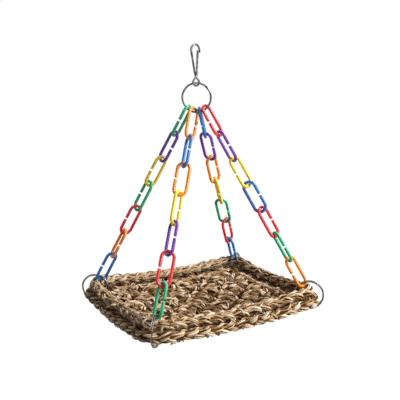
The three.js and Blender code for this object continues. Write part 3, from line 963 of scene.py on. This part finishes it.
class SWING_OT_links(bpy.types.Operator):
    """Mould the open links of the chains"""

    bl_idname = "swing.links"
    bl_label = "C-Links"

    def execute(self, context):
        chain = context.scene.swing_chain
        for node in frame["nodes"]:
            if node.startswith("link_"):
                self.add_link(node, chain)
        return {"FINISHED"}

    def add_link(self, node, chain):
        """A link in the place of its solid, which gives its rod, its bends and its open side"""
        joint = joint_to(node)
        middle = np.array(joint["pos_m"])
        up = unit(np.array(joint["axis"]))
        offsets = node_points(node) - middle
        heights = offsets @ up
        gap_ends = offsets[np.abs(heights) < chain.opening]
        open_side = gap_ends.mean(axis=0)
        open_side -= up * (open_side @ up)
        bend = np.linalg.norm(open_side)
        open_side /= bend
        normal = np.cross(up, open_side)
        rod = np.ptp(offsets @ normal)
        straight = (np.ptp(heights) - rod) / 2 - bend
        flat = link_route(bend, straight, chain.opening / 2, chain.end_round)
        middles = middle + flat[:, :1] * open_side + flat[:, 1:] * up
        level = np.tile(normal, (len(middles), 1))
        outward = np.cross(level, directions(middles, False))
        turn = np.arange(chain.sides) / chain.sides * FULL_TURN
        radius = rod / 2 + chain.seam * np.exp(-(np.sin(turn) / SEAM_WIDTH) ** 2)
        section = np.stack([radius * np.cos(turn), radius * np.sin(turn)], axis=-1)
        ease = np.linspace(0, 1, ROUND_STEPS + 1)[1:] * math.pi / 2
        narrowing = chain.end_round / (rod / 2)
        tubes = Tubes()
        tubes.add(with_round_ends(middles, outward, level, section, ease, chain.end_round, narrowing))
        slot = frame["nodes"][node].data.materials[0].name
        material = bpy.data.materials.get(slot + "_moulded")
        material = material or plastic_material(slot, list(getattr(chain, slot)))
        dress(tubes.build(node + "_moulded", material), node, node)


# Wire


def nickel(wire):
    """The wire's material, made when it is first asked for"""
    return bpy.data.materials.get("nickel_plated_wire") or nickel_material(wire)


def round_corners(points, bend):
    """A run of points with each inner corner replaced by a smooth bend"""
    rounded = [points[0]]
    for before, corner, after in zip(points, points[1:], points[2:]):
        arriving = corner - before
        leaving = after - corner
        reach_in = min(bend, np.linalg.norm(arriving) / 2)
        reach_out = min(bend, np.linalg.norm(leaving) / 2)
        start = corner - unit(arriving) * reach_in
        end = corner + unit(leaving) * reach_out
        for ease in np.linspace(0, 1, WIRE_BEND_STEPS + 1):
            rounded.append((1 - ease) ** 2 * start + 2 * ease * (1 - ease) * corner + ease ** 2 * end)
    rounded.append(points[-1])
    return np.array(rounded)


def squared_off(values, power):
    """Cosines or sines of a round, pushed out towards a square"""
    return np.sign(values) * np.abs(values) ** power


def split_ring(tubes, centre, axis, radius, step_at, wire):
    """A flat wire wound twice, with a cranked step from one turn to the other"""
    across = np.cross(axis, Z_AXIS)
    pitch = wire.ring_axial + wire.ring_space
    flat_turn = FULL_TURN - wire.ring_step
    total = 2 * flat_turn + wire.ring_step
    turned = np.linspace(0, total, RING_STATIONS)
    turn = step_at + wire.ring_step / 2 + turned
    ease = np.clip((turned - flat_turn) / wire.ring_step, 0, 1)
    climb = ease * ease * (3 - 2 * ease) - 0.5
    outward = np.cos(turn)[:, None] * across + np.sin(turn)[:, None] * Z_AXIS
    middles = centre + radius * outward + (pitch * climb)[:, None] * axis
    round_turn = np.arange(RING_SIDES) / RING_SIDES * FULL_TURN
    flat = squared_off(np.cos(round_turn), RING_SQUARED_ACROSS) * wire.ring_radial / 2
    high = squared_off(np.sin(round_turn), RING_SQUARED_ALONG) * wire.ring_axial / 2
    section = np.tile(np.stack([flat, high], axis=-1), (len(turned), 1, 1))
    from_end = np.minimum(turned, total - turned) * radius / wire.ring_axial
    section *= (RING_TIP + (1 - RING_TIP) * np.sqrt(np.clip(from_end, 0, 1)))[:, None, None]
    up = np.tile(-axis, (len(turned), 1))
    tubes.add(sweep(middles, outward, up, section))


class SWING_OT_rings(bpy.types.Operator):
    """Wind the split rings at the top and at the corners of the mat"""

    bl_idname = "swing.rings"
    bl_label = "Split Rings"

    def execute(self, context):
        wire = context.scene.swing_wire
        rings = [name for name in frame["nodes"] if "ring" in name]
        for node in rings:
            is_top = node == "top_ring"
            joint = joint_to(MAT_BODY if is_top else node)
            step_at = wire.top_step_at if is_top else wire.corner_step_at
            low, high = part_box(node)
            radius = (high.z - low.z - wire.ring_radial) / 2
            centre = np.array(joint["pos_m"])
            tubes = Tubes()
            split_ring(tubes, centre, np.array(joint["axis"]), radius, step_at, wire)
            dress(tubes.build(node + "_wound", nickel(wire)), node, node)
        return {"FINISHED"}


def add_wire(tubes, middles, normal, diameter):
    """Round wire along a run of middles, with its two ends rounded off"""
    along = directions(middles, False)
    up = square_to(np.tile(normal, (len(middles), 1)), along)
    section = oval(diameter, diameter, WIRE_SIDES)
    ease = np.linspace(0, 1, ROUND_STEPS + 2)[1:-1] * math.pi / 2
    depth = WIRE_ROUND * diameter
    tubes.add(with_round_ends(middles, np.cross(up, along), up, section, ease, depth, WIRE_NARROWING))


class SWING_OT_hook(bpy.types.Operator):
    """Bend the wire of the snap hook and its sprung gate"""

    bl_idname = "swing.hook"
    bl_label = "Snap Hook"

    def execute(self, context):
        wire = context.scene.swing_wire
        normal = -np.array(joint_to("gate")["axis"])
        gate = node_points("hook_gate")
        gate_middle = np.median(gate[:, 2])
        gate_root = gate[gate[:, 2] < gate_middle].mean(axis=0)
        gate_tip = gate[gate[:, 2] > gate_middle].mean(axis=0)
        gate_line = gate_root + (gate_tip - gate_root) * np.linspace(0, 1, GATE_STATIONS)[:, None]
        body_line = self.body_line(wire, normal, gate_root)
        for node, body, middles in (("hook_body", "hook", body_line), ("hook_gate", "gate", gate_line)):
            tubes = Tubes()
            add_wire(tubes, middles, normal, wire.hook_wire)
            dress(tubes.build(node + "_wire", nickel(wire)), node, body)
        return {"FINISHED"}

    def body_line(self, wire, normal, gate_root):
        """Middle of the wire, from its tip over the bend and round the eye to the root of the gate"""
        across = np.cross(normal, Z_AXIS)
        low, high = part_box("hook_body")
        diameter = wire.hook_wire

        def spot(x, y, z):
            return across * x + normal * y + Z_AXIS * z

        def arc(centre_z, radius, start, end):
            return [
                spot(radius * math.cos(turn), 0, centre_z + radius * math.sin(turn))
                for turn in np.linspace(start, end, ARC_STEPS + 1)
            ]

        bend = (wire.hook_width - diameter) / 2
        bend_z = high.z - diameter / 2 - bend
        eye_bend = (wire.eye_width - diameter) / 2
        eye_z = low.z + diameter / 2 + eye_bend
        throat_z = low.z + wire.eye_length
        throat_y = (diameter + wire.throat_space) / 2
        tip = [spot(bend, 0, bend_z - wire.tip_drop)]
        throat_back = spot(0, throat_y, throat_z)
        throat_front = spot(0, -throat_y, throat_z)
        top = arc(bend_z, bend, 0, math.pi)
        eye = arc(eye_z, eye_bend, 0, -math.pi)
        leg = round_corners([top[-1], throat_back, eye[0]], wire.wire_bend)
        end = round_corners([eye[-1], throat_front, gate_root], wire.wire_bend)
        return np.vstack([tip, top[:-1], leg[:-1], eye[:-1], end])


# Stage


class SWING_OT_stage(bpy.types.Operator):
    """Set the camera, the light and the pale floor"""

    bl_idname = "swing.stage"
    bl_label = "Stage"

    def execute(self, context):
        stage = context.scene.swing_stage
        context.scene.view_settings.view_transform = "Standard"
        self.add_camera(context.scene, stage)
        self.add_world(context.scene, stage)
        self.add_floor(stage)
        aim = Vector(stage.aim) - Vector((0, 0, stage.light_drop))
        self.add_light("key_light", Vector(stage.key_place), aim, stage.key_power, stage.key_size)
        self.add_light("fill_light", Vector(stage.fill_place), aim, stage.fill_power, stage.fill_size)
        self.add_light("back_light", Vector(stage.back_place), aim, stage.back_power, stage.back_size)
        return {"FINISHED"}

    def add_camera(self, scene, stage):
        flat = math.cos(stage.elevation)
        back = Vector((
            math.sin(stage.azimuth) * flat,
            -math.cos(stage.azimuth) * flat,
            math.sin(stage.elevation),
        ))
        level = Vector((math.cos(stage.azimuth), math.sin(stage.azimuth), 0))
        upright = back.cross(level)
        right = math.cos(stage.roll) * level + math.sin(stage.roll) * upright
        up = math.cos(stage.roll) * upright - math.sin(stage.roll) * level
        eye = Vector(stage.aim) + back * stage.distance + right * stage.step_right + up * stage.step_up
        lens = bpy.data.cameras.new("camera")
        lens.sensor_fit = "HORIZONTAL"
        lens.lens = lens.sensor_width * stage.focal_pixels / IMAGE_SIZE
        lens.clip_start = 0.01
        camera = bpy.data.objects.new("camera", lens)
        camera.matrix_world = Matrix((
            (right.x, up.x, back.x, eye.x),
            (right.y, up.y, back.y, eye.y),
            (right.z, up.z, back.z, eye.z),
            (0, 0, 0, 1),
        ))
        scene.collection.objects.link(camera)
        scene.camera = camera

    def add_world(self, scene, stage):
        world = bpy.data.worlds.new("studio")
        world.use_nodes = True
        tree = world.node_tree
        light = tree.nodes["Background"]
        light.inputs["Color"].default_value = (1, 1, 1, 1)
        light.inputs["Strength"].default_value = stage.ambient
        white = tree.nodes.new("ShaderNodeBackground")
        white.inputs["Color"].default_value = (1, 1, 1, 1)
        mix = tree.nodes.new("ShaderNodeMixShader")
        tree.links.new(background_rays(tree), mix.inputs[0])
        tree.links.new(light.outputs["Background"], mix.inputs[1])
        tree.links.new(white.outputs["Background"], mix.inputs[2])
        tree.links.new(mix.outputs["Shader"], tree.nodes["World Output"].inputs["Surface"])
        scene.world = world

    def add_floor(self, stage):
        half = stage.floor_size / 2
        corners = [(-half, -half), (half, -half), (half, half), (-half, half)]
        mesh = bpy.data.meshes.new("floor")
        mesh.from_pydata([(x, y, stage.floor_height) for x, y in corners], [], [(0, 1, 2, 3)])
        mesh.materials.append(floor_material())
        floor = bpy.data.objects.new("floor", mesh)
        bpy.context.scene.collection.objects.link(floor)

    def add_light(self, name, place, aim, power, size):
        lamp = bpy.data.lights.new(name, "AREA")
        lamp.energy = power
        lamp.size = size
        light = bpy.data.objects.new(name, lamp)
        light.location = place
        light.rotation_euler = (aim - place).to_track_quat("-Z", "Y").to_euler()
        bpy.context.scene.collection.objects.link(light)


# Panel and registration


OPERATORS = (
    SWING_OT_stage,
    SWING_OT_links,
    SWING_OT_rings,
    SWING_OT_hook,
    SWING_OT_rim_plaits,
    SWING_OT_field_plaits,
    SWING_OT_loose_blades,
)


class SWING_PT_panel(bpy.types.Panel):
    """Buttons that make the pieces of the platform swing"""

    bl_label = "Platform Swing"
    bl_idname = "SWING_PT_panel"
    bl_space_type = "VIEW_3D"
    bl_region_type = "UI"
    bl_category = "Swing"

    def draw(self, context):
        column = self.layout.column(align=True)
        for operator in OPERATORS:
            column.operator(operator.bl_idname)


SETTINGS = {
    "swing_rim_plait": RimPlaitSettings,
    "swing_band_plait": BandPlaitSettings,
    "swing_mat": MatSettings,
    "swing_chain": ChainSettings,
    "swing_wire": WireSettings,
    "swing_stage": StageSettings,
}
CLASSES = (
    RimPlaitSettings,
    BandPlaitSettings,
    MatSettings,
    ChainSettings,
    WireSettings,
    StageSettings,
    *OPERATORS,
    SWING_PT_panel,
)


def register():
    for cls in CLASSES:
        bpy.utils.register_class(cls)
    for name, group in SETTINGS.items():
        setattr(bpy.types.Scene, name, bpy.props.PointerProperty(type=group))


def unregister():
    for name in SETTINGS:
        delattr(bpy.types.Scene, name)
    for cls in reversed(CLASSES):
        bpy.utils.unregister_class(cls)


def main():
    register()
    bpy.ops.swing.stage()
    bpy.ops.swing.links()
    bpy.ops.swing.rings()
    bpy.ops.swing.hook()
    bpy.ops.swing.rim_plaits()
    bpy.ops.swing.field_plaits()
    bpy.ops.swing.loose_blades()


if __name__ == "__main__":
    main()
